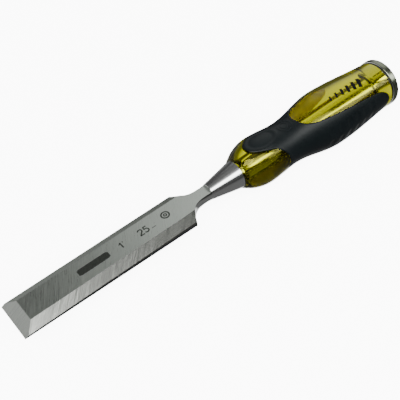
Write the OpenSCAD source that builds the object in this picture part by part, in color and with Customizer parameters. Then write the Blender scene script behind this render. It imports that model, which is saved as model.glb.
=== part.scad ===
// Bench chisel with a through tang: a forged blade, a moulded two-part handle and a steel strike cap.
// The tool lies along X, bevel side up, with the cutting edge at the -X end.
// Each sub-part is drawn with the cutting edge at x = 0 and the blade's flat back at z = 0,
// and in_frame() then moves it so that the origin is under the middle of the tool.

/* [Blade] */
// Width of the blade
blade_w = 25; // [20:1:32]
// Length from the cutting edge to the shoulders
blade_l = 103; // [90:1:115]
// Thickness where the end bevel meets the top face
tip_t = 4; // [3.5:0.1:4.5]
// Rise of the top face per millimetre towards the shoulders
top_slope = 0.019; // [0.015:0.001:0.025]
// Half the width of the top face between the two side bevels
top_half_w = 7.3; // [6:0.1:8]
// Angle of the ground end bevel
end_bevel_angle = 30; // [25:1:35]
// Angle of the side bevels
side_bevel_angle = 27.5; // [22:0.5:30]

/* [Neck and bolster] */
// Radius of the arc by which each shoulder runs in to the neck
shoulder_arc_r = 14; // [12:0.5:16]
// Smallest radius of the neck
neck_r = 4.35; // [4:0.05:4.8]
// Length from the shoulders to the end of the ground top face
ground_l = 17; // [15:0.5:18]
// Radius of the bolster cone where it enters the handle
bolster_r = 8.3; // [7.8:0.1:8.6]
// Height of the handle's axis above the blade's flat back
axis_z = 3.5; // [3:0.1:4]

/* [Tang] */
// Radius of the tang inside the handle
tang_r = 4.6; // [4:0.1:5]
// Radius of the tang's spigot, which holds the strike cap
spigot_r = 3; // [2.5:0.1:3.5]

/* [Handle] */
// Length from the cutting edge to the front of the handle
handle_x = 139.5; // [138:0.5:141]
// Place and radius of the front swelling
front_swell = [156, 14.5]; // [10:0.1:260]
// Place and radius of the waist
waist = [174.6, 13.1]; // [10:0.1:260]
// Place and radius of the rear swelling
rear_swell = [207, 17.6]; // [10:0.1:260]
// Place and radius towards which the rear taper runs
rear_taper = [256, 14.6]; // [10:0.1:260]
// Radius of the arc that rounds the front of the handle
dome_r = 26; // [25:0.5:30]
// Length from the cutting edge to the rear of the handle core
core_end_x = 248.8; // [248:0.1:249.5]
// Thickness of the rubber grip
grip_t = 2; // [1.6:0.1:2.4]
// Depth of the thumb recesses
thumb_depth = 1; // [0.6:0.1:1.2]

/* [Strike cap] */
// Radius of the strike cap
cap_r = 14.8; // [14.4:0.1:15.2]
// Length of the strike cap
cap_l = 4.7; // [4:0.1:6]
// Radius of the strike cap's rear edge
cap_edge_r = 1.6; // [1:0.1:2]
// Thickness of the gasket between the handle core and the strike cap
gasket_t = 1; // [0.8:0.1:1.2]

/* [Hidden] */

steel = "#a4aaa4";
amber = "#c8c832";
rubber = "#1e2326";
chrome = "#c8ccce";
dark = "#23261f";

round_fn = 96;
handle_steps = 36;
far = 60;

// Blade and neck
shoulder_x = blade_l;
neck_web_w = neck_r - 1.05;
shoulder_end_x = shoulder_x + sqrt(pow(shoulder_arc_r, 2) - pow(shoulder_arc_r + neck_web_w - blade_w / 2, 2));
ground_end_x = shoulder_x + ground_l;
top_start_x = tip_t / tan(end_bevel_angle);
top_pitch = atan(top_slope);
neck_start_x = shoulder_x + 5;
neck_narrow_x = shoulder_x + 13;
cone_start_x = shoulder_x + 17;
cone_start_r = neck_r + 0.3;
bolster_end_x = handle_x + 1.5;
bolster_end_r = bolster_r + 0.25;

// Tang, washer, gasket and cap
tang_end_x = 240;
washer_t = 1.2;
washer_r = 6.5;
gasket_r = cap_r - 0.7;
cap_x = core_end_x + gasket_t;
cap_end_x = cap_x + cap_l;
cap_front_edge_r = 0.6;
spigot_end_x = cap_x + cap_l / 2;

// Grip
grip_x = 147.5;
grip_end_x = 246;
tongue_z = 12.3;
tongue_nose_z = 12.95;
side_window_l = 12.6;
arm_y = 13.3;
top_window_x = 182;
top_window_nose = 22;
arm_end_r = 8;
thumb_x = 157.5;
thumb_ball_r = 40;

core_edge_r = 0.8;

// Moves a shape from the cutting edge's frame to the part's frame.
module in_frame() {
    translate([-cap_end_x / 2, 0, rear_swell[1] - axis_z]) children();
}

// Revolves an outline of [x, radius] points about the handle's axis.
module turned(points) {
    translate([0, 0, axis_z])
        rotate([0, 90, 0])
            rotate_extrude($fn = round_fn)
                polygon([for (p = points) [p[1], p[0]]]);
}

// A smooth run from station a to station b, level at both ends.
function ease(x, a, b) =
    a[1] + (b[1] - a[1]) * (1 - cos(180 * (x - a[0]) / (b[0] - a[0]))) / 2;

// Radius of the handle at x.
function handle_r(x) =
    x < front_swell[0] ? front_swell[1] - dome_r + sqrt(pow(dome_r, 2) - pow(x - front_swell[0], 2)) :
    x < waist[0] ? ease(x, front_swell, waist) :
    x < rear_swell[0] ? ease(x, waist, rear_swell) :
    ease(x, rear_swell, rear_taper);

// Points of the handle's outline from x = a to x = b, moved outwards by out.
function handle_outline(a, b, out = 0) =
    let (n = ceil(handle_steps * (b - a) / (core_end_x - handle_x)))
    [for (i = [0 : n]) let (x = a + (b - a) * i / n) [x, handle_r(x) + out]];

// Reverses a list of points.
function reversed(points) = [for (i = [len(points) - 1 : -1 : 0]) points[i]];

// Points of an arc of [x, radius] points about a centre.
function arc(centre, r, from, to, n = 6) =
    [for (i = [0 : n]) let (a = from + (to - from) * i / n) centre + r * [cos(a), sin(a)]];

// The half space above a plane through point p that climbs by slope_x and slope_y.
module above(p, slope_x, slope_y, size) {
    pitch = -atan(slope_x);
    roll = atan(slope_y * cos(pitch));
    translate(p)
        rotate([roll, pitch, 0])
            translate([-size[0], -size[1] / 2, 0]) cube(size);
}

// Outline of the blade and neck seen from above.
module plan() {
    for (side = [0, 1]) mirror([0, side]) {
        difference() {
            polygon([
                [0, 0],
                [0, blade_w / 2],
                [shoulder_end_x, blade_w / 2],
                [shoulder_end_x, neck_web_w],
                [ground_end_x - 1, neck_web_w],
                [ground_end_x - 1, 0],
            ]);
            translate([shoulder_end_x, neck_web_w + shoulder_arc_r])
                circle(r = shoulder_arc_r, $fn = round_fn);
        }
    }
}

// Everything that grinding takes off the forging: top face, side bevels and end bevel.
module ground_away() {
    side_slope = tan(side_bevel_angle);
    above([ground_end_x, 0, tip_t + top_slope * (ground_end_x - top_start_x)], top_slope, 0,
        [2 * far + ground_end_x, far, far]);
    for (side = [0, 1]) mirror([0, side, 0])
        above([ground_end_x, top_half_w, tip_t + top_slope * (ground_end_x - top_start_x)],
            top_slope, -side_slope, [2 * far + ground_end_x, 2 * top_half_w + far, far]);
    translate([0, -far / 2, 0])
        rotate([0, -end_bevel_angle, 0])
            translate([-far, 0, 0]) cube([3 * far, far, far]);
}

// One forging: bevelled blade, neck, bolster cone, tang and spigot.
module blade_forging() {
    color(steel) in_frame() difference() {
        union() {
            linear_extrude(height = tip_t + top_slope * ground_end_x + 1) plan();
            turned([
                [neck_start_x, 0],
                [neck_start_x, neck_r - 1.4],
                [neck_narrow_x, neck_r],
                [cone_start_x - 1.5, neck_r + 0.02],
                [cone_start_x, cone_start_r],
                [bolster_end_x, bolster_end_r],
                [bolster_end_x, tang_r],
                [tang_end_x, tang_r],
                [tang_end_x, spigot_r],
                [spigot_end_x, spigot_r],
                [spigot_end_x, 0],
            ]);
        }
        ground_away();
    }
}

// The part of the handle's skin that the rubber covers, from grip_t deep to out beyond the surface.
module grip_zone(out) {
    difference() {
        turned(concat(
            handle_outline(grip_x, grip_end_x, out),
            reversed(handle_outline(grip_x, grip_end_x, -grip_t))
        ));
        side_window();
        top_window();
        arm_ends();
    }
}

// Front windows on both sides, between the upper and the lower tongue.
module side_window() {
    translate([0, far / 2, axis_z])
        rotate([90, 0, 0])
            linear_extrude(height = far)
                polygon(concat(
                    [for (a = [90 : -9 : -90])
                        [front_swell[0] + side_window_l * cos(a), tongue_z * sin(a)]],
                    [
                        [grip_x, -tongue_nose_z],
                        [grip_x - 1, -tongue_nose_z],
                        [grip_x - 1, tongue_nose_z],
                        [grip_x, tongue_nose_z],
                    ]
                ));
}

// Rear windows above and below, between the two side arms.
module top_window() {
    nose_x = top_window_x + top_window_nose;
    translate([0, 0, axis_z - far / 2])
        linear_extrude(height = far)
            polygon(concat(
                [for (a = [90 : 9 : 270]) [nose_x + top_window_nose * cos(a), arm_y * sin(a)]],
                [[grip_end_x + 1, -arm_y], [grip_end_x + 1, arm_y]]
            ));
}

// Rounds the rear ends of the two side arms.
module arm_ends() {
    centre_x = grip_end_x - arm_end_r;
    translate([0, far / 2, axis_z])
        rotate([90, 0, 0])
            linear_extrude(height = far)
                difference() {
                    translate([centre_x, -far / 2]) square([far, far]);
                    translate([centre_x, 0]) circle(r = arm_end_r, $fn = round_fn);
                }
}

// Translucent core, moulded round the tang: conical socket, bore, washer seat and spigot hole.
module handle_core() {
    color(amber) in_frame() difference() {
        turned(concat(
            handle_outline(handle_x, core_end_x - core_edge_r),
            arc([core_end_x - core_edge_r, handle_r(core_end_x) - core_edge_r], core_edge_r, 80, 0, 3),
            [
                [core_end_x, spigot_r],
                [tang_end_x + washer_t, spigot_r],
                [tang_end_x + washer_t, washer_r],
                [tang_end_x, washer_r],
                [tang_end_x, tang_r],
                [bolster_end_x, tang_r],
                [bolster_end_x, bolster_end_r],
                [handle_x, bolster_socket_r()],
            ]
        ));
        grip_zone(1);
    }
}

// Radius of the bolster cone where it enters the handle core.
function bolster_socket_r() =
    bolster_end_r - (bolster_end_r - cone_start_r) * (bolster_end_x - handle_x) / (bolster_end_x - cone_start_x);

// Soft rubber moulded over the core, with a thumb recess in each tongue.
module rubber_grip() {
    color(rubber) in_frame() difference() {
        grip_zone(0);
        for (side = [-1, 1])
            translate([thumb_x, 0, axis_z + side * (handle_r(thumb_x) - thumb_depth + thumb_ball_r)])
                sphere(r = thumb_ball_r, $fn = round_fn);
    }
}

// Steel washer that bears on the end of the thick tang.
module tang_washer() {
    color(chrome) in_frame() turned([
        [tang_end_x, spigot_r],
        [tang_end_x, washer_r],
        [tang_end_x + washer_t, washer_r],
        [tang_end_x + washer_t, spigot_r],
    ]);
}

// Dark ring that cushions the strike cap on the core.
module cap_gasket() {
    color(dark) in_frame() turned([
        [core_end_x, spigot_r],
        [core_end_x, gasket_r],
        [cap_x, gasket_r],
        [cap_x, spigot_r],
    ]);
}

// Steel strike cap with a blind bore for the spigot and rounded edges.
module strike_cap() {
    color(chrome) in_frame() turned(concat(
        [[spigot_end_x, 0], [spigot_end_x, spigot_r], [cap_x, spigot_r]],
        arc([cap_x + cap_front_edge_r, cap_r - cap_front_edge_r], cap_front_edge_r, 180, 90, 3),
        arc([cap_end_x - cap_edge_r, cap_r - cap_edge_r], cap_edge_r, 90, 0, 6),
        [[cap_end_x, 0]]
    ));
}

blade_forging();
handle_core();
rubber_grip();
tang_washer();
cap_gasket();
strike_cap();
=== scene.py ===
"""Bench chisel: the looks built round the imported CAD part, in the same frame, in metres."""
import math

import bpy
import numpy as np
from mathutils import Matrix, Vector


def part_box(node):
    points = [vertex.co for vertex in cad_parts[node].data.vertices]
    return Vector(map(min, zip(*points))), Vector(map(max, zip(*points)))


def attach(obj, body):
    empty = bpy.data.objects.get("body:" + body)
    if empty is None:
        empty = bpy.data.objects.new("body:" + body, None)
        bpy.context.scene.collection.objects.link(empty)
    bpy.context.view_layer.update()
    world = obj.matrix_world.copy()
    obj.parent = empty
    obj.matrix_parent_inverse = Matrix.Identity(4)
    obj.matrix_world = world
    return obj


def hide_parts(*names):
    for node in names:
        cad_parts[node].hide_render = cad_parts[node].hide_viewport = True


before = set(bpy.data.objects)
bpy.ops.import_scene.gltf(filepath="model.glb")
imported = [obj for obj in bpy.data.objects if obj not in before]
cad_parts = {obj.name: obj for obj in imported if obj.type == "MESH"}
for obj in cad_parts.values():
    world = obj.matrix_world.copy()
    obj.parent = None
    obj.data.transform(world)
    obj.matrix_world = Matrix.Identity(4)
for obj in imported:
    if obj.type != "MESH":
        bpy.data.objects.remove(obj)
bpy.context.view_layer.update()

# ---------------------------------------------------------------- frame of the tool
# Shapes are worked out in millimetres: x from the cutting edge, y across, z from the handle's axis.
MM = 0.001
EDGE_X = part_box("blade_forging")[0][0]
CAP_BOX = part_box("strike_cap")
AXIS_Z = (CAP_BOX[0][2] + CAP_BOX[1][2]) / 2


def from_edge(x):
    """A CAD position along the tool, in millimetres from the cutting edge."""
    return (x - EDGE_X) / MM


CORE_FRONT = from_edge(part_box("handle_core")[0][0])
CORE_END = from_edge(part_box("handle_core")[1][0])
WASHER_FRONT, WASHER_END = (from_edge(c[0]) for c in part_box("tang_washer"))
GASKET_END = from_edge(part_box("cap_gasket")[1][0])
CAP_END = from_edge(CAP_BOX[1][0])
CAP_R = (CAP_BOX[1][1] - CAP_BOX[0][1]) / 2 / MM
GASKET_R = (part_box("cap_gasket")[1][1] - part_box("cap_gasket")[0][1]) / 2 / MM
WASHER_R = (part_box("tang_washer")[1][1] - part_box("tang_washer")[0][1]) / 2 / MM
SPIGOT_END = from_edge(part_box("blade_forging")[1][0])
BACK = -3.5          # flat back of the blade, below the axis
BLADE_HALF = (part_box("blade_forging")[1][1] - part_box("blade_forging")[0][1]) / 2 / MM
BLADE_L = 103.0      # cutting edge to the start of the shoulders
TIP_T = 4.0          # thickness just behind the end bevel
TOP_SLOPE = 0.019
TOP_HALF = 7.3       # half width of the flat between the side bevels
END_BEVEL = math.tan(math.radians(30))
SIDE_BEVEL = math.tan(math.radians(27.5))
TOP_START = TIP_T / END_BEVEL
SHOULDER_R = 14.0
NECK_WEB = 3.3       # half width of the ground face where the shoulders end
NECK_R = 4.35
NECK_ROUND = 117.0   # from here back the neck is round
GROUND_END = 120.0   # the ground top face ends here, at the bolster's cone
CONE_R = 4.65
CONE_STEP = 0.15     # chamfer where the cone starts
BOLSTER_END = CORE_FRONT + 1.5
BOLSTER_R = 8.55
TANG_R = 4.6
SPIGOT_R = 3.0
GRIP_T = 2.0
TANG_GAP = 0.04      # air round the tang, so that light leaves the plastic there
GASKET_GAP = 0.06    # air in front of the gasket
SEAT_GAP = 0.06      # the core's seat lies this far below the rubber

FRONT_SWELL = (156.0, 14.5)
WAIST = (174.6, 13.1)
REAR_SWELL = (207.0, 17.6)
REAR_TAPER = (256.0, 14.6)
DOME_R = 26.0
WINDOW_DROP = 0.2    # the core's windows lie this far below the rubber


def ease(x, a, b):
    """A half cosine from point a to point b."""
    return a[1] + (b[1] - a[1]) * (1 - np.cos(math.pi * (x - a[0]) / (b[0] - a[0]))) / 2


def handle_r(x):
    """Radius of the handle at x."""
    x = np.asarray(x, float)
    dome = FRONT_SWELL[1] - DOME_R + np.sqrt(np.maximum(DOME_R ** 2 - (x - FRONT_SWELL[0]) ** 2, 0))
    rear = np.where(x < REAR_SWELL[0], ease(x, WAIST, REAR_SWELL), ease(x, REAR_SWELL, REAR_TAPER))
    body = np.where(x < WAIST[0], ease(x, FRONT_SWELL, WAIST), rear)
    return np.where(x < FRONT_SWELL[0], dome, body)


def smooth(x, a, b):
    """0 at a, 1 at b, with a smooth step between."""
    t = np.clip((np.asarray(x, float) - a) / (b - a), 0, 1)
    return t * t * (3 - 2 * t)


# ---------------------------------------------------------------- mesh helpers
def make_object(name, verts, faces, mats, face_mats=None, sharp=30.0):
    """A mesh object from millimetre points, smooth shaded with sharp edges over an angle."""
    v = np.asarray(verts, float) * MM + np.array([EDGE_X, 0, AXIS_Z])
    me = bpy.data.meshes.new(name)
    me.from_pydata(v.tolist(), [], faces)
    if face_mats is not None:
        me.polygons.foreach_set("material_index", np.asarray(face_mats, np.int32))
    for m in mats:
        me.materials.append(m)
    me.polygons.foreach_set("use_smooth", np.ones(len(me.polygons), bool))
    me.update()
    me.set_sharp_from_angle(angle=math.radians(sharp))
    ob = bpy.data.objects.new(name, me)
    bpy.context.collection.objects.link(ob)
    return ob


def grid_faces(rows, cols, wrap_rows, wrap_cols, start=0):
    """Quads of a grid of points, row after row."""
    faces = []
    for i in range(rows if wrap_rows else rows - 1):
        a = start + i * cols
        b = start + ((i + 1) % rows) * cols
        for j in range(cols if wrap_cols else cols - 1):
            k = (j + 1) % cols
            faces.append((a + j, a + k, b + k, b + j))
    return faces


def outward(verts, faces):
    """The faces, turned over if the solid they bound has a negative volume."""
    v = np.asarray(verts, float)
    total = 0.0
    for f in faces:
        for i in range(1, len(f) - 1):
            total += np.dot(v[f[0]], np.cross(v[f[i]], v[f[i + 1]]))
    return faces if total > 0 else [tuple(reversed(f)) for f in faces]


def revolve(name, profile, mats, n=192, sharp=30.0, wall=None):
    """A solid of revolution from [x, radius] points.

    wall: two x limits of the side that takes the second material.
    """
    verts, rings = [], []
    for x, r in profile:
        if r == 0:
            rings.append([len(verts)])
            verts.append((x, 0, 0))
        else:
            rings.append(list(range(len(verts), len(verts) + n)))
            turns = [2 * math.pi * j / n for j in range(n)]
            verts += [(x, r * math.sin(t), r * math.cos(t)) for t in turns]
    faces = []
    pairs = list(zip(rings, rings[1:]))
    if len(rings[0]) > 1 and len(rings[-1]) > 1:
        pairs.append((rings[-1], rings[0]))
    for a, b in pairs:
        for j in range(n):
            k = (j + 1) % n
            if len(a) == 1:
                faces.append((a[0], b[k], b[j]))
            elif len(b) == 1:
                faces.append((a[j], a[k], b[0]))
            else:
                faces.append((a[j], a[k], b[k], b[j]))
    kinds = None
    if wall:
        kinds = [int(wall[0] < np.mean([verts[i][0] for i in f]) < wall[1]) for f in faces]
    return make_object(name, verts, outward(verts, faces), mats, kinds, sharp=sharp)


def arc(cx, cy, r, a0, a1, n):
    """Points of an arc from angle a0 to a1, in degrees."""
    angles = [math.radians(a0 + (a1 - a0) * i / n) for i in range(n + 1)]
    return [(cx + r * math.cos(a), cy + r * math.sin(a)) for a in angles]


def through(points, t):
    """A smooth curve through (parameter, value) points that never overshoots them."""
    p = np.array([q[0] for q in points], float)
    v = np.array([q[1] for q in points], float)
    h = np.diff(p)
    d = np.diff(v) / h
    m = np.zeros(len(p))
    for i in range(1, len(p) - 1):
        if d[i - 1] * d[i] > 0:
            w1, w2 = 2 * h[i] + h[i - 1], h[i] + 2 * h[i - 1]
            m[i] = (w1 + w2) / (w1 / d[i - 1] + w2 / d[i])
    t = np.clip(np.asarray(t, float), p[0], p[-1])
    i = np.clip(np.searchsorted(p, t, side="right") - 1, 0, len(p) - 2)
    u = (t - p[i]) / h[i]
    return ((2 * u ** 3 - 3 * u ** 2 + 1) * v[i] + (u ** 3 - 2 * u ** 2 + u) * h[i] * m[i]
            + (3 * u ** 2 - 2 * u ** 3) * v[i + 1] + (u ** 3 - u ** 2) * h[i] * m[i + 1])


# ---------------------------------------------------------------- materials
def new_material(name):
    """A material with one Principled shader: material, node tree, shader, object coordinates, output."""
    m = bpy.data.materials.new(name)
    m.use_nodes = True
    nt = m.node_tree
    for n in list(nt.nodes):
        nt.nodes.remove(n)
    out = nt.nodes.new("ShaderNodeOutputMaterial")
    bsdf = nt.nodes.new("ShaderNodeBsdfPrincipled")
    nt.links.new(bsdf.outputs[0], out.inputs["Surface"])
    coord = nt.nodes.new("ShaderNodeTexCoord")
    return m, nt, bsdf, coord.outputs["Object"], out


def noise(nt, vector, scale, stretch=(1, 1, 1), turn=(0, 0, 0), detail=3.0, rough=0.5):
    """Noise in object space, finer by stretch along each turned axis, as a 0 to 1 value."""
    mp = nt.nodes.new("ShaderNodeMapping")
    mp.vector_type = "TEXTURE"
    mp.inputs["Scale"].default_value = tuple(1 / a for a in stretch)
    mp.inputs["Rotation"].default_value = tuple(math.radians(a) for a in turn)
    nt.links.new(vector, mp.inputs["Vector"])
    t = nt.nodes.new("ShaderNodeTexNoise")
    t.inputs["Scale"].default_value = scale
    t.inputs["Detail"].default_value = detail
    t.inputs["Roughness"].default_value = rough
    nt.links.new(mp.outputs[0], t.inputs["Vector"])
    return t.outputs[0]


def ranged(nt, value, low, high, lo_in=0.3, hi_in=0.7):
    """The value mapped from lo_in..hi_in to low..high."""
    r = nt.nodes.new("ShaderNodeMapRange")
    r.inputs["From Min"].default_value = lo_in
    r.inputs["From Max"].default_value = hi_in
    r.inputs["To Min"].default_value = low
    r.inputs["To Max"].default_value = high
    nt.links.new(value, r.inputs["Value"])
    return r.outputs[0]


def shade(nt, value, dark, light):
    """A colour between two, by a 0 to 1 value."""
    mix = nt.nodes.new("ShaderNodeMix")
    mix.data_type = "RGBA"
    mix.inputs["A"].default_value = (*dark, 1)
    mix.inputs["B"].default_value = (*light, 1)
    nt.links.new(value, mix.inputs["Factor"])
    return mix.outputs["Result"]


def bump(nt, value, bsdf, strength, distance):
    b = nt.nodes.new("ShaderNodeBump")
    b.inputs["Strength"].default_value = strength
    b.inputs["Distance"].default_value = distance
    nt.links.new(value, b.inputs["Height"])
    nt.links.new(b.outputs[0], bsdf.inputs["Normal"])


def faded(nt, co, colour, x0, x1, g0, g1):
    """A colour scaled from g0 to g1 between two distances from the cutting edge: painted light and shade along the
    tool.
    """
    split = nt.nodes.new("ShaderNodeSeparateXYZ")
    nt.links.new(co, split.inputs[0])
    along = ranged(nt, split.outputs["X"], g0, g1, EDGE_X + x0 * MM, EDGE_X + x1 * MM)
    scale = nt.nodes.new("ShaderNodeVectorMath")
    scale.operation = "SCALE"
    nt.links.new(colour, scale.inputs[0])
    nt.links.new(along, scale.inputs["Scale"])
    return scale.outputs[0]


def steel(name, dark, light, rough, streak, turn=(0, 0, 0), strength=0.25, spread=0.08, fade=None):
    """Ground or polished steel with fine streaks in one direction.

    fade: two distances from the cutting edge, and the painted brightness at each.
    """
    m, nt, bsdf, co, _ = new_material(name)
    fine = noise(nt, co, 1.0, streak, turn, detail=4.0, rough=0.6)
    broad = noise(nt, co, 60.0, detail=2.0)
    bsdf.inputs["Metallic"].default_value = 1.0
    both = nt.nodes.new("ShaderNodeMath")
    both.operation = "MULTIPLY_ADD"
    nt.links.new(fine, both.inputs[0])
    both.inputs[1].default_value = 0.7
    nt.links.new(ranged(nt, broad, 0.0, 0.3, 0.0, 1.0), both.inputs[2])
    colour = shade(nt, ranged(nt, both.outputs[0], 0.0, 1.0), dark, light)
    if fade:
        colour = faded(nt, co, colour, *fade)
    nt.links.new(colour, bsdf.inputs["Base Color"])
    nt.links.new(ranged(nt, fine, rough - spread, rough + spread), bsdf.inputs["Roughness"])
    bump(nt, fine, bsdf, strength, 0.00002)
    return m


DIAGONAL = (1900, 90, 90)
STEEL_TOP = steel("steel_top", (0.38, 0.41, 0.38), (0.48, 0.51, 0.47), 0.30,
                  DIAGONAL, (0, 0, -30), strength=0.07, spread=0.04)
# Painted shade: the left side bevel is a darker, rougher copy of the ground steel.
STEEL_LEFT_SHADED = steel("steel_left_painted_shade", (0.31, 0.34, 0.31), (0.39, 0.42, 0.38), 0.38,
                   DIAGONAL, (0, 0, -30), strength=0.07, spread=0.04)
# Painted light: the right side bevel is a lighter, smoother copy of the same steel. Its fade is a painted reflection,
# bright at the cutting edge and dimmer towards the shoulders.
STEEL_RIGHT_LIT = steel("steel_right_painted_light", (0.50, 0.51, 0.48), (0.60, 0.61, 0.57), 0.21,
                    (1900, 80, 80), (0, 0, -48), strength=0.08, spread=0.04, fade=(8, 100, 1.2, 0.62))
STEEL_END = steel("steel_end", (0.36, 0.38, 0.36), (0.48, 0.50, 0.47), 0.32, (60, 2400, 60), strength=0.16)
STEEL_SIDE = steel("steel_side", (0.085, 0.085, 0.08), (0.13, 0.13, 0.125), 0.42, (80, 1800, 1800))
STEEL_BRIGHT = steel("steel_bright", (0.58, 0.58, 0.58), (0.68, 0.68, 0.68), 0.13,
                     (60, 2400, 2400), strength=0.08, spread=0.03)
# Painted light: the tang is a near-white copy of the forging's steel, so that it shows bright streaks through the
# plastic.
STEEL_TANG_LIT = steel("steel_tang_painted_light", (0.80, 0.80, 0.76), (0.90, 0.90, 0.86), 0.27,
                   (60, 2400, 2400), strength=0.08, spread=0.03)
STEEL_BACK = steel("steel_back", (0.42, 0.44, 0.42), (0.54, 0.56, 0.53), 0.28,
                   (60, 2200, 60), strength=0.07, spread=0.04)
STEEL_CAP = steel("steel_cap", (0.66, 0.67, 0.68), (0.74, 0.75, 0.76), 0.12,
                  (2600, 700, 700), strength=0.06, spread=0.03)
# Painted shade: the cap's side wall is a darker, green-tinged copy of the cap steel.
STEEL_WALL_SHADED = steel("steel_wall_painted_shade", (0.15, 0.165, 0.12), (0.22, 0.235, 0.18), 0.24,
                   (2600, 700, 700), strength=0.06, spread=0.04)


def ink_material(name, dark, light):
    """Flat dark ink with a fine grain."""
    m, nt, bsdf, co, _ = new_material(name)
    n = noise(nt, co, 3000, detail=3.0)
    nt.links.new(shade(nt, ranged(nt, n, 0, 1), dark, light), bsdf.inputs["Base Color"])
    nt.links.new(ranged(nt, n, 0.5, 0.75), bsdf.inputs["Roughness"])
    bsdf.inputs["Specular IOR Level"].default_value = 0.1
    return m


def rubber_material(name, dark, light, rough, fade=None):
    """Satin soft material with a fine grain."""
    m, nt, bsdf, co, _ = new_material(name)
    grain = noise(nt, co, 2600, detail=3.0)
    broad = noise(nt, co, 45, detail=3.0)
    colour = shade(nt, ranged(nt, broad, 0, 1), dark, light)
    if fade:
        colour = faded(nt, co, colour, *fade)
    nt.links.new(colour, bsdf.inputs["Base Color"])
    nt.links.new(ranged(nt, broad, rough - 0.05, rough + 0.05), bsdf.inputs["Roughness"])
    bsdf.inputs["Specular IOR Level"].default_value = 0.18
    bump(nt, grain, bsdf, 0.25, 0.00003)
    return m


def core_material():
    """Clear yellow plastic: the colour comes mostly from the absorbing volume."""
    m, nt, bsdf, co, out = new_material("amber_clear")
    wave = noise(nt, co, 90, (0.5, 1, 1), detail=2.0)
    bsdf.inputs["Transmission Weight"].default_value = 1.0
    bsdf.inputs["IOR"].default_value = 1.47
    bsdf.inputs["Specular Tint"].default_value = (0.9, 0.86, 0.15, 1)
    bsdf.inputs["Roughness"].default_value = 0.04
    nt.links.new(shade(nt, ranged(nt, wave, 0, 1), (0.86, 0.86, 0.12), (0.92, 0.92, 0.18)), bsdf.inputs["Base Color"])
    bump(nt, wave, bsdf, 0.15, 0.0002)
    vol = nt.nodes.new("ShaderNodeVolumeAbsorption")
    vol.inputs["Color"].default_value = (0.90, 0.895, 0.15, 1)
    vol.inputs["Density"].default_value = 195.0
    nt.links.new(vol.outputs[0], out.inputs["Volume"])
    return m


INK = ink_material("etched_ink", (0.006, 0.007, 0.006), (0.022, 0.024, 0.021))
PRINT = ink_material("printed_ink", (0.001, 0.001, 0.001), (0.003, 0.003, 0.002))
RUBBER = rubber_material("soft_rubber", (0.0026, 0.0042, 0.0050), (0.0040, 0.0060, 0.0070), 0.42)
# Painted light: the rubber's inner face is bright amber so that the plastic seen through the windows looks lit from
# within; its fade is painted shade, darker towards the front.
PAINTED_GLOW_SKIN = rubber_material("grip_inner_painted_glow", (0.94, 0.80, 0.03), (0.98, 0.87, 0.05), 0.7, (172, 186, 0.3, 1.0))
GASKET = rubber_material("gasket_dark", (0.010, 0.011, 0.008), (0.02, 0.021, 0.016), 0.4)
CORE = core_material()


# ---------------------------------------------------------------- blade, neck, bolster and tang
def top_z(x):
    """Height of the ground top face at x."""
    return BACK + TIP_T + TOP_SLOPE * (x - TOP_START)


def plan_half(x):
    """Half width of the blade at x, with the arc of the shoulder."""
    run = math.sqrt(SHOULDER_R ** 2 - (SHOULDER_R + NECK_WEB - BLADE_HALF) ** 2)
    if x <= BLADE_L:
        return BLADE_HALF
    t = max(BLADE_L + run - x, 0.0)
    return NECK_WEB + SHOULDER_R - math.sqrt(SHOULDER_R ** 2 - t * t)


SEG = (8, 5, 8, 8)   # points from the back's middle to each corner and on to the top's middle


def half_section(corners):
    """Points down one half of a section, with even spacing between its corners."""
    pts = []
    for (a, b), n in zip(zip(corners, corners[1:]), SEG):
        pts += [(a[0] + (b[0] - a[0]) * i / n, a[1] + (b[1] - a[1]) * i / n) for i in range(n)]
    return np.array(pts + [corners[-1]])


def blade_section(x):
    """Half section of the blade at x, cut by the end bevel."""
    w = plan_half(x)
    limit = BACK + max(x * END_BEVEL, 0.05)
    top = min(top_z(x), limit)
    bevel = top_z(x) - max(w - TOP_HALF, 0) * SIDE_BEVEL
    side = min(bevel, limit)
    inner = w if top < bevel else min(w, TOP_HALF + max(top_z(x) - top, 0) / SIDE_BEVEL)
    return half_section([(0, BACK), (w, BACK), (w, side), (inner, top), (0, top)])


def round_section(x, r, flat):
    """A round section, cut flat on top if it stands above the ground face."""
    top = min(top_z(x), r) if flat else r
    last = math.acos(top / r)
    angles = [math.pi, math.radians(135), math.radians(80), last if flat else math.radians(38), 0.0]
    pts = []
    for k, n in enumerate(SEG):
        for i in range(n):
            a = angles[k] + (angles[k + 1] - angles[k]) * i / n
            if flat and k == 3:
                pts.append((r * math.sin(last) * (1 - i / n), top))
            else:
                pts.append((r * math.sin(a), r * math.cos(a)))
    return np.array(pts + [(0, top)])


def neck_r(x):
    """Radius of the neck, a little larger at both ends."""
    return NECK_R + 0.35 * smooth(x, NECK_ROUND, 106) + 0.2 * smooth(x, NECK_ROUND, GROUND_END)


BLADE_MATERIALS = [STEEL_TOP, STEEL_LEFT_SHADED, STEEL_RIGHT_LIT, STEEL_END, STEEL_SIDE, STEEL_BRIGHT, STEEL_TANG_LIT, STEEL_BACK]
TOP, LEFT, RIGHT, END, SIDE, BRIGHT, TANG, BACK_FACE = range(len(BLADE_MATERIALS))
GROUND_SIDES_END = 104.5   # the dark sides turn into the polished neck here
GROUND_BEVELS_END = 106.4  # and the bevels here


def blade_kinds(kind, x, bevel):
    """Materials of the four parts of a section: back, side, bevel, top."""
    if kind == "tang":
        return (TANG,) * 4
    if kind == "cone":
        return (BRIGHT,) * 4
    if kind == "end":
        return (BACK_FACE, SIDE, bevel, END)
    if kind == "blade" or x < GROUND_SIDES_END:
        return (BACK_FACE, SIDE, bevel, TOP)
    return (BRIGHT, BRIGHT, bevel if x < GROUND_BEVELS_END else BRIGHT, TOP)


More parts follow.
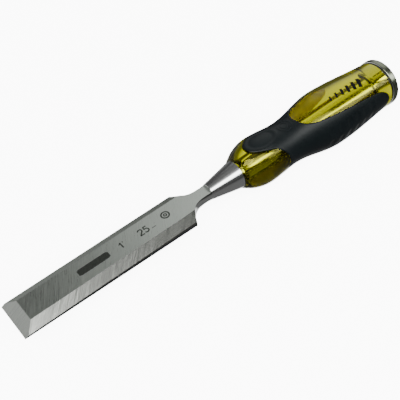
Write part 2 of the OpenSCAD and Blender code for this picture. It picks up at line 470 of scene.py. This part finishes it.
def build_blade():
    """The forging, as one closed skin of sections from the cutting edge to the end of the spigot."""
    rows, kinds = [], []

    def add(x, section, kind):
        rows.append((x, section))
        kinds.append(kind)

    first = (TIP_T - (BLADE_HALF - TOP_HALF) * SIDE_BEVEL - TOP_SLOPE * TOP_START) / (END_BEVEL - TOP_SLOPE)
    for x in [0.0, first / 2, first, (first + TOP_START) / 2, TOP_START]:
        add(x, blade_section(x), "end")
    for x in np.linspace(TOP_START, BLADE_L, 33)[1:]:
        add(x, blade_section(x), "blade")
    for x in np.linspace(BLADE_L, GROUND_END, 49)[1:]:
        m = smooth(x, BLADE_L, NECK_ROUND)
        s = (1 - m) * blade_section(x) + m * round_section(x, neck_r(x), True)
        s[:, 1] = np.minimum(s[:, 1], top_z(x))
        add(x, s, "neck")
    for x in np.concatenate([[GROUND_END], np.linspace(GROUND_END + CONE_STEP, BOLSTER_END, 25)]):
        r = CONE_R + (BOLSTER_R - CONE_R) * (x - GROUND_END) / (BOLSTER_END - GROUND_END)
        if x == GROUND_END:
            r -= CONE_STEP
        add(x, round_section(x, r, False), "cone")
    for x, r in [(BOLSTER_END, TANG_R), (WASHER_FRONT, TANG_R), (WASHER_FRONT, SPIGOT_R), (SPIGOT_END, SPIGOT_R)]:
        add(x, round_section(x, r, False), "tang")
    half = sum(SEG) + 1
    verts, n = [], 2 * half - 2
    for x, s in rows:
        verts += [(x, y, z) for y, z in s]
        verts += [(x, -y, z) for y, z in s[-2:0:-1]]
    faces = grid_faces(len(rows), n, False, True)
    bounds = np.cumsum((0,) + SEG)
    mats = []
    for i in range(len(rows) - 1):
        for j in range(n):
            left = j < half - 1
            k = j if left else n - 1 - j
            part = int(np.searchsorted(bounds, k, side="right")) - 1
            mats.append(blade_kinds(kinds[i + 1], rows[i + 1][0], LEFT if left else RIGHT)[part])
    start = len(verts)
    verts.append((rows[0][0], 0, BACK + 0.025))
    verts.append((rows[-1][0], 0, 0))
    last = (len(rows) - 1) * n
    for j in range(n):
        k = (j + 1) % n
        faces.append((start, k, j))
        faces.append((start + 1, last + j, last + k))
        mats += [END, BRIGHT]
    return make_object("blade", verts, outward(verts, faces), BLADE_MATERIALS, mats, sharp=22)


# ---------------------------------------------------------------- handle: where the rubber starts and ends
# Angle from the top of the handle, and where along the tool the rubber's edge lies there. One quarter:
# the others are its mirror images.
FRONT_EDGE = [(0, 147.5), (12, 147.9), (23, 150.2), (31, 153.8), (37, 158.2), (42, 161.6), (49, 163.8), (60, 166.0),
              (77, 168.0), (90, 168.5)]
REAR_EDGE = [(0, 182.4), (14, 183.3), (25, 185.0), (35, 188.2), (40, 191.6), (43, 196.5), (46, 202.5), (49, 210.0),
             (52, 220.0), (55, 229.5), (59, 237.0), (66, 242.0), (77, 245.0), (90, 246.0)]
COLUMNS = 560


def fold(theta):
    """The angle in the first quarter that stands for theta."""
    a = np.abs((np.asarray(theta, float) + 180) % 360 - 180)
    return np.where(a > 90, 180 - a, a)


def column_angles():
    """Angles round the handle, closer together where the rubber's edges run lengthwise."""
    t = np.linspace(0, 360, 14401)
    s = np.radians(t) * 15.0
    total = np.zeros(len(t))
    for edge in (FRONT_EDGE, REAR_EDGE):
        x = through(edge, fold(t))
        total[1:] += np.cumsum(np.hypot(np.diff(x), np.diff(s)))
    total += s * 0.6
    return np.interp(np.linspace(0, total[-1], COLUMNS + 1)[:-1], total, t)


THETA = column_angles()


def edge_line(edge, rubber_side):
    """(x, theta) of a rubber edge at every column, and the unit step into the rubber in x and arc length."""
    x = through(edge, fold(THETA))
    for _ in range(3):
        x = (np.roll(x, 1) + 2 * x + np.roll(x, -1)) / 4
    r = handle_r(x)
    dth = np.radians((np.roll(THETA, -1) - np.roll(THETA, 1) + 360) % 360) * r
    dx = np.roll(x, -1) - np.roll(x, 1)
    length = np.hypot(dx, dth)
    nx, ns = dth / length * rubber_side, -dx / length * rubber_side
    for _ in range(6):
        nx = (np.roll(nx, 1) + 2 * nx + np.roll(nx, -1)) / 4
        ns = (np.roll(ns, 1) + 2 * ns + np.roll(ns, -1)) / 4
    length = np.hypot(nx, ns)
    return x, nx / length, ns / length


FRONT = edge_line(FRONT_EDGE, 1)
REAR = edge_line(REAR_EDGE, -1)


def shifted(line, d):
    """(x, theta) of an edge line moved d millimetres into the rubber."""
    x, nx, ns = line
    return x + nx * d, THETA + np.degrees(ns * d / handle_r(x))


def nearest_turn(theta, to):
    """theta, moved by whole turns to lie within half a turn of the other angle."""
    return to + ((theta - to + 180) % 360 - 180)


def surface(x, theta, depth):
    """Points at a depth below the handle's surface."""
    r = handle_r(x) - depth
    a = np.radians(theta)
    return np.stack([x, r * np.sin(a), r * np.cos(a)], axis=-1)


# thumb recess with a soft rim, above and below, and rows of shallow dimples on the side arms
THUMB_X, THUMB_L, THUMB_W, THUMB_DEPTH = 158.3, 10.0, 6.8, 0.55
THUMB_ARC_R, DIMPLE_ARC_R = 14.0, 16.5   # handle radius there, which turns angles into lengths
RIM = 0.08
DIMPLE_XS = [198.0 + 6.5 * k for k in range(6)]
DIMPLE_ANGLE, DIMPLE_R, DIMPLE_DEPTH = 76.0, 2.3, 0.28
DIMPLE_STRETCH = 1.5   # dimples are this much longer round the handle


def rubber_depth(x, theta):
    """How far the rubber lies below the handle's surface."""
    a = fold(theta)
    s = np.radians(a) * THUMB_ARC_R
    rho = np.sqrt(((x - THUMB_X) / THUMB_L) ** 2 + (s / THUMB_W) ** 2)
    dish = THUMB_DEPTH * (1 - smooth(rho, 0.72, 1.0))
    rim = RIM * np.exp(-((rho - 1.05) / 0.08) ** 2)
    across = np.radians(a - DIMPLE_ANGLE) * DIMPLE_ARC_R / (DIMPLE_STRETCH * DIMPLE_R)
    for middle in DIMPLE_XS:
        far = np.sqrt(((x - middle) / DIMPLE_R) ** 2 + across ** 2)
        dish = dish + DIMPLE_DEPTH * (1 - smooth(far, 0.45, 1.0))
    return dish + RIM - rim


def build_grip():
    """The rubber, as a closed grid: front lip, outside, rear lip, inside."""
    lip = 0.7
    angles = np.radians(np.linspace(0, 90, 8))
    rows = []
    for line, flip in ((FRONT, False), (REAR, True)):
        edge = [(0.0, GRIP_T), (0.0, 1.3)] + [(lip * (1 - math.cos(a)), lip * (1 - math.sin(a))) for a in angles]
        edge += [(lip + 0.3, 0.0)]
        part = []
        for d, depth in edge:
            x, th = shifted(line, d)
            extra = rubber_depth(x, th) * smooth(lip - depth, 0, lip)
            part.append(surface(x, th, depth + extra))
        rows.append(part[::-1] if flip else part)
    xa, ta = shifted(FRONT, lip + 0.3)
    xb, tb = shifted(REAR, lip + 0.3)
    tb = nearest_turn(tb, ta)
    outside = []
    for u in np.linspace(0, 1, 150)[1:-1]:
        x = xa + (xb - xa) * u
        th = ta + (tb - ta) * u
        outside.append(surface(x, th, rubber_depth(x, th)))
    front_x, rear_x = FRONT[0], REAR[0]
    inside = [surface(front_x + (rear_x - front_x) * u, THETA, GRIP_T) for u in np.linspace(1, 0, 40)[1:-1]]
    stack = np.array(rows[0] + outside + rows[1] + inside)
    verts = stack.reshape(-1, 3)
    faces = grid_faces(len(stack), COLUMNS, True, True)
    skin = len(rows[0]) + len(outside) + len(rows[1])
    # The inner faces take the second material, the painted amber glow.
    face_mats = [0 if i // COLUMNS < skin - 1 else 1 for i in range(len(faces))]
    return make_object("grip", verts, outward(verts, faces), [RUBBER, PAINTED_GLOW_SKIN], face_mats, sharp=50)


def build_core():
    """The clear core, as a closed grid: front dome, seat of the rubber, windows and collar, rear face, bore."""
    rows = []
    for u in np.linspace(0, 1, 40):
        x = CORE_FRONT + (FRONT[0] - CORE_FRONT) * u
        rows.append(surface(x, THETA, WINDOW_DROP * min(1, u * 12)))
    x, th = shifted(FRONT, 0.12)
    rows.append(surface(x, th, WINDOW_DROP))
    xr, tr = shifted(REAR, 0.12)
    tr = nearest_turn(tr, th)
    seat = GRIP_T - SEAT_GAP
    for u in np.linspace(0, 1, 40):
        rows.append(surface(x + (xr - x) * u, th + (tr - th) * u, seat))
    rows.append(surface(xr, tr, WINDOW_DROP))
    end = CORE_END - 0.9
    for u in np.linspace(0, 1, 44):
        rows.append(surface(REAR[0] + (end - REAR[0]) * u, THETA, WINDOW_DROP))
    a = np.radians(THETA)

    def ring(x, r):
        rows.append(np.stack([np.full(COLUMNS, x), r * np.sin(a), r * np.cos(a)], axis=-1))

    r_end = float(handle_r(end)) - WINDOW_DROP
    rounding = 0.8
    for x, r in arc(end, r_end - rounding, rounding, 90, 0, 6)[1:]:
        ring(x + 0.04, r)
    bore = TANG_R + TANG_GAP
    socket_end = BOLSTER_END + TANG_GAP
    for x, r in [(CORE_END - GASKET_GAP, SPIGOT_R), (WASHER_END, SPIGOT_R), (WASHER_END, WASHER_R),
                 (WASHER_FRONT, WASHER_R), (WASHER_FRONT, bore), (socket_end, bore),
                 (socket_end, BOLSTER_R + 0.02), (CORE_FRONT, BOLSTER_R - 0.24)]:
        ring(x, r)
    stack = np.array(rows)
    verts = stack.reshape(-1, 3)
    faces = grid_faces(len(stack), COLUMNS, True, True)
    return make_object("core", verts, outward(verts, faces), [CORE], sharp=40)


# ---------------------------------------------------------------- marks
def ribbon(points, width):
    """Left and right outline points of a flat stroke."""
    p = np.asarray(points, float)
    d = np.gradient(p, axis=0)
    d /= np.linalg.norm(d, axis=1)[:, None]
    n = np.stack([-d[:, 1], d[:, 0]], axis=1) * width / 2
    return p + n, p - n


def plate(verts, faces, left, right, lift, thick, to3d):
    """Adds a thin closed strip between two outlines, its underside at lift over the surface."""
    n = len(left)
    base = len(verts)
    for h in (lift, lift + thick):
        for side in (left, right):
            verts += [to3d(u, v, h) for u, v in side]

    def quad(a, b, c, d):
        faces.append((base + a, base + b, base + c, base + d))

    for i in range(n - 1):
        quad(2 * n + i, 3 * n + i, 3 * n + i + 1, 2 * n + i + 1)
        quad(i, i + 1, n + i + 1, n + i)
        quad(i, 2 * n + i, 2 * n + i + 1, i + 1)
        quad(n + i, n + i + 1, 3 * n + i + 1, 3 * n + i)
    quad(0, n, 3 * n, 2 * n)
    quad(n - 1, 3 * n - 1, 4 * n - 1, 2 * n - 1)


def on_top(u, v, h):
    """A point at height h over the blade's top face."""
    return (u, v, top_z(u) + h)


def on_handle(u, v, h):
    """A point at height h over the handle's surface, v millimetres round from the top."""
    r = float(handle_r(u))
    return (u, (r + h) * math.sin(v / r), (r + h) * math.cos(v / r))


INK_THICK = 0.03
INK_SUNK = -0.01   # the blade's marks start this far under its top face


def build_blade_marks():
    """A plain bar, the numerals 1 and 25, and a plain ring."""
    verts, faces = [], []

    def stroke(points, width):
        left, right = ribbon(points, width)
        plate(verts, faces, left, right, INK_SUNK, INK_THICK, on_top)

    # plain dark bar with rounded ends
    bar = np.linspace(38.0, 56.5, 40)
    half = 2.2 - 0.7 * (smooth(bar, 39.2, 38.0) + smooth(bar, 55.3, 56.5))
    plate(verts, faces, list(zip(bar, half)), list(zip(bar, -half)), INK_SUNK, INK_THICK, on_top)
    # numeral 1 and a tick
    stroke([(63.0, 0.9), (63.7, 1.3), (64.2, 2.0)], 0.55)
    stroke([(64.2, 2.05), (64.2, -2.0)], 0.7)
    stroke([(65.7, 2.1), (65.7, 1.2)], 0.4)
    # numerals 25 and a dash
    stroke(arc(76.2, 1.0, 1.15, 165, -35, 14) + [(74.9, -2.0)], 0.72)
    stroke([(74.85, -2.0), (77.5, -2.0)], 0.65)
    stroke([(80.6, 2.1), (78.8, 2.1)], 0.72)
    stroke([(78.85, 2.3), (78.6, 0.35)], 0.62)
    stroke([(78.6, 0.35)] + arc(79.35, -0.65, 1.3, 120, -150, 18), 0.72)
    stroke([(82.2, -1.6), (84.6, -1.6)], 0.4)
    # plain ring
    stroke(arc(92.5, 1.0, 2.2, 0, 359.5, 60), 0.8)
    stroke(arc(92.5, 1.0, 0.8, 0, 359.5, 40), 0.7)
    return make_object("blade_marks", verts, faces, [INK], sharp=60)


def build_window_marks():
    """Plain slanted bars printed on the core in the rear window."""
    verts, faces = [], []
    for k in range(6):
        x = 206.5 + 4.6 * k
        h = 1.5 + 0.3 * k
        pts = [(x + 0.35 * h * t, -5.2 + h * t) for t in np.linspace(-1, 1, 12)]
        left, right = ribbon(pts, 1.2 + 0.25 * k)
        plate(verts, faces, left, right, 0.01 - WINDOW_DROP, INK_THICK, on_handle)
    return make_object("window_marks", verts, faces, [PRINT], sharp=60)


def build_grip_ring():
    """Two plain raised rings behind the thumb recess."""
    verts, faces = [], []
    for r, w in ((4.0, 0.8), (2.3, 0.6)):
        left, right = ribbon(arc(175.5, 0, r, 0, 359.5, 72), w)
        plate(verts, faces, left, right, -0.15 - RIM, 0.35, on_handle)
    return make_object("grip_ring", verts, faces, [RUBBER], sharp=40)


# ---------------------------------------------------------------- pieces
blade = build_blade()
core = build_core()
grip = build_grip()
marks = build_blade_marks()
window_marks = build_window_marks()
grip_ring = build_grip_ring()

washer_chamfer = 0.3
washer_rim = WASHER_R + 0.02
washer = revolve("washer", [(WASHER_FRONT, SPIGOT_R), (WASHER_FRONT, WASHER_R - washer_chamfer),
                            (WASHER_FRONT + washer_chamfer, washer_rim), (WASHER_END - washer_chamfer, washer_rim),
                            (WASHER_END, WASHER_R - washer_chamfer), (WASHER_END, SPIGOT_R)], [STEEL_BRIGHT])
gasket_round = 0.3
gasket = revolve("gasket", [(CORE_END, SPIGOT_R), (CORE_END, GASKET_R - gasket_round)]
                 + arc(CORE_END + gasket_round, GASKET_R - gasket_round, gasket_round, 180, 90, 4)
                 + arc(GASKET_END - gasket_round, GASKET_R - gasket_round, gasket_round, 90, 0, 4)
                 + [(GASKET_END, SPIGOT_R)], [GASKET])
cap_front, cap_rear = 0.6, 1.6   # rounding of the cap's edges
cap = revolve("cap", [(SPIGOT_END, 0), (SPIGOT_END, SPIGOT_R), (GASKET_END, SPIGOT_R), (GASKET_END, CAP_R - 1.2)]
              + arc(GASKET_END + cap_front, CAP_R - cap_front, cap_front, 180, 90, 8)
              + arc(CAP_END - cap_rear, CAP_R - cap_rear, cap_rear, 90, 4, 14)
              + [(CAP_END, CAP_R - 3.0), (CAP_END, 1.2), (CAP_END, 0)],
              [STEEL_CAP, STEEL_WALL_SHADED], n=256, wall=(GASKET_END + 0.2, CAP_END - 1.25))

for piece, node, slot in ((blade, "blade_forging", "ground_steel"), (core, "handle_core", "amber_plastic"),
                          (grip, "rubber_grip", "grip_rubber"), (washer, "tang_washer", "plated_steel"),
                          (gasket, "cap_gasket", "gasket_rubber"), (cap, "strike_cap", "plated_steel")):
    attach(piece, "root")
    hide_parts(node)
for piece, slot in ((marks, "ground_steel"), (window_marks, "gasket_rubber"), (grip_ring, "grip_rubber")):
    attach(piece, "root")


# ---------------------------------------------------------------- stage, light, camera
FLOOR_HALF = 8.0


def build_floor():
    """A plain pale floor that glows evenly and is hidden from reflected, refracted and diffuse rays."""
    me = bpy.data.meshes.new("floor")
    corners = [(x * FLOOR_HALF, y * FLOOR_HALF, 0) for x, y in ((-1, -1), (1, -1), (1, 1), (-1, 1))]
    me.from_pydata(corners, [], [(0, 1, 2, 3)])
    m, nt, bsdf, co, _ = new_material("pale_floor")
    n = noise(nt, co, 3.0, detail=2.0)
    nt.links.new(shade(nt, n, (0.84, 0.84, 0.84), (0.86, 0.86, 0.86)), bsdf.inputs["Base Color"])
    bsdf.inputs["Roughness"].default_value = 0.9
    bsdf.inputs["Specular IOR Level"].default_value = 0.1
    bsdf.inputs["Emission Color"].default_value = (1, 1, 1, 1)
    bsdf.inputs["Emission Strength"].default_value = 9.0
    me.materials.append(m)
    ob = bpy.data.objects.new("floor", me)
    bpy.context.collection.objects.link(ob)
    ob.visible_glossy = False
    ob.visible_transmission = False
    ob.visible_diffuse = False


def build_top_light():
    """A soft area light above the tool."""
    d = bpy.data.lights.new("top_box", "AREA")
    d.shape = "RECTANGLE"
    d.size, d.size_y = 0.6, 0.5
    d.energy = 12
    ob = bpy.data.objects.new("top_box", d)
    place = Vector((-0.55, -0.45, 1.1))
    ob.location = place
    ob.rotation_euler = (-place).to_track_quat("-Z", "Y").to_euler()
    bpy.context.collection.objects.link(ob)


# Each soft box: axis, degrees to full strength, degrees to none, strength, stretch along X.
# Four lie below the floor, which doesn't hide them from the tool.
BOXES = (
    ((0.66, 0.46, 0.60), 18, 34, 1.2),
    ((-0.10, -0.64, 0.76), 9, 18, 10.0, 2.2),
    ((0.60, -0.62, 0.50), 7, 15, 7.0, 2.0),
    ((-0.62, 0.66, 0.42), 15, 35, 0.65),
    ((0.20, 0.00, 1.00), 15, 35, 0.12),
    ((-0.25, 0.97, -0.15), 15, 40, 0.42),
    ((-0.55, 0.40, -0.60), 25, 45, 0.9),
    ((0.50, 0.35, -0.80), 10, 27, 1.2),
    ((-0.25, -0.30, 0.92), 10, 22, 1.5),
    ((0.0, -0.2, -1.0), 60, 90, 0.1),
)
DARK_FLAG = ((0.35, -0.92, 0.12), 8, 20, 0.8)   # a flag that takes this share of the ambient light
AMBIENT = 0.10


def build_world():
    """A dim studio with soft boxes, given by direction."""
    w = bpy.data.worlds.new("studio")
    bpy.context.scene.world = w
    w.use_nodes = True
    nt = w.node_tree
    bg = nt.nodes["Background"]
    co = nt.nodes.new("ShaderNodeTexCoord")

    def box(axis, inner, outer, strength, stretch=1.0):
        squash = nt.nodes.new("ShaderNodeVectorMath")
        squash.operation = "MULTIPLY"
        squash.inputs[1].default_value = (1 / stretch, 1, 1)
        nt.links.new(co.outputs["Generated"], squash.inputs[0])
        unit = nt.nodes.new("ShaderNodeVectorMath")
        unit.operation = "NORMALIZE"
        nt.links.new(squash.outputs[0], unit.inputs[0])
        dot = nt.nodes.new("ShaderNodeVectorMath")
        dot.operation = "DOT_PRODUCT"
        dot.inputs[1].default_value = Vector((axis[0] / stretch, axis[1], axis[2])).normalized()
        nt.links.new(unit.outputs[0], dot.inputs[0])
        r = nt.nodes.new("ShaderNodeMapRange")
        r.interpolation_type = "SMOOTHSTEP"
        r.inputs["From Min"].default_value = math.cos(math.radians(outer))
        r.inputs["From Max"].default_value = math.cos(math.radians(inner))
        r.inputs["To Min"].default_value = 0.0
        r.inputs["To Max"].default_value = strength
        nt.links.new(dot.outputs["Value"], r.inputs["Value"])
        return r.outputs[0]

    def join(a, b, operation):
        m = nt.nodes.new("ShaderNodeMath")
        m.operation = operation
        for k, v in enumerate((a, b)):
            if isinstance(v, float):
                m.inputs[k].default_value = v
            else:
                nt.links.new(v, m.inputs[k])
        return m.outputs[0]

    total = join(AMBIENT, join(1.0, box(*DARK_FLAG), "SUBTRACT"), "MULTIPLY")
    for args in BOXES:
        total = join(total, box(*args), "ADD")
    nt.links.new(total, bg.inputs["Strength"])
    bg.inputs["Color"].default_value = (0.98, 1.0, 0.98, 1)


build_floor()
build_world()
build_top_light()

CAMERA_AT = Vector((-0.1559, -0.2296, 0.2891))
CAMERA_AIM = Vector((-0.0138, -0.0016, 0.0176))
CAMERA_ROLL = math.radians(-8.93)
cam_data = bpy.data.cameras.new("camera")
cam_data.sensor_width = 36.0
cam_data.lens = 64.8
cam = bpy.data.objects.new("camera", cam_data)
bpy.context.collection.objects.link(cam)
turn = (CAMERA_AIM - CAMERA_AT).to_track_quat("-Z", "Y").to_matrix().to_4x4() @ Matrix.Rotation(CAMERA_ROLL, 4, "Z")
cam.matrix_world = Matrix.Translation(CAMERA_AT) @ turn
cam_data.clip_start = 0.01
bpy.context.scene.camera = cam
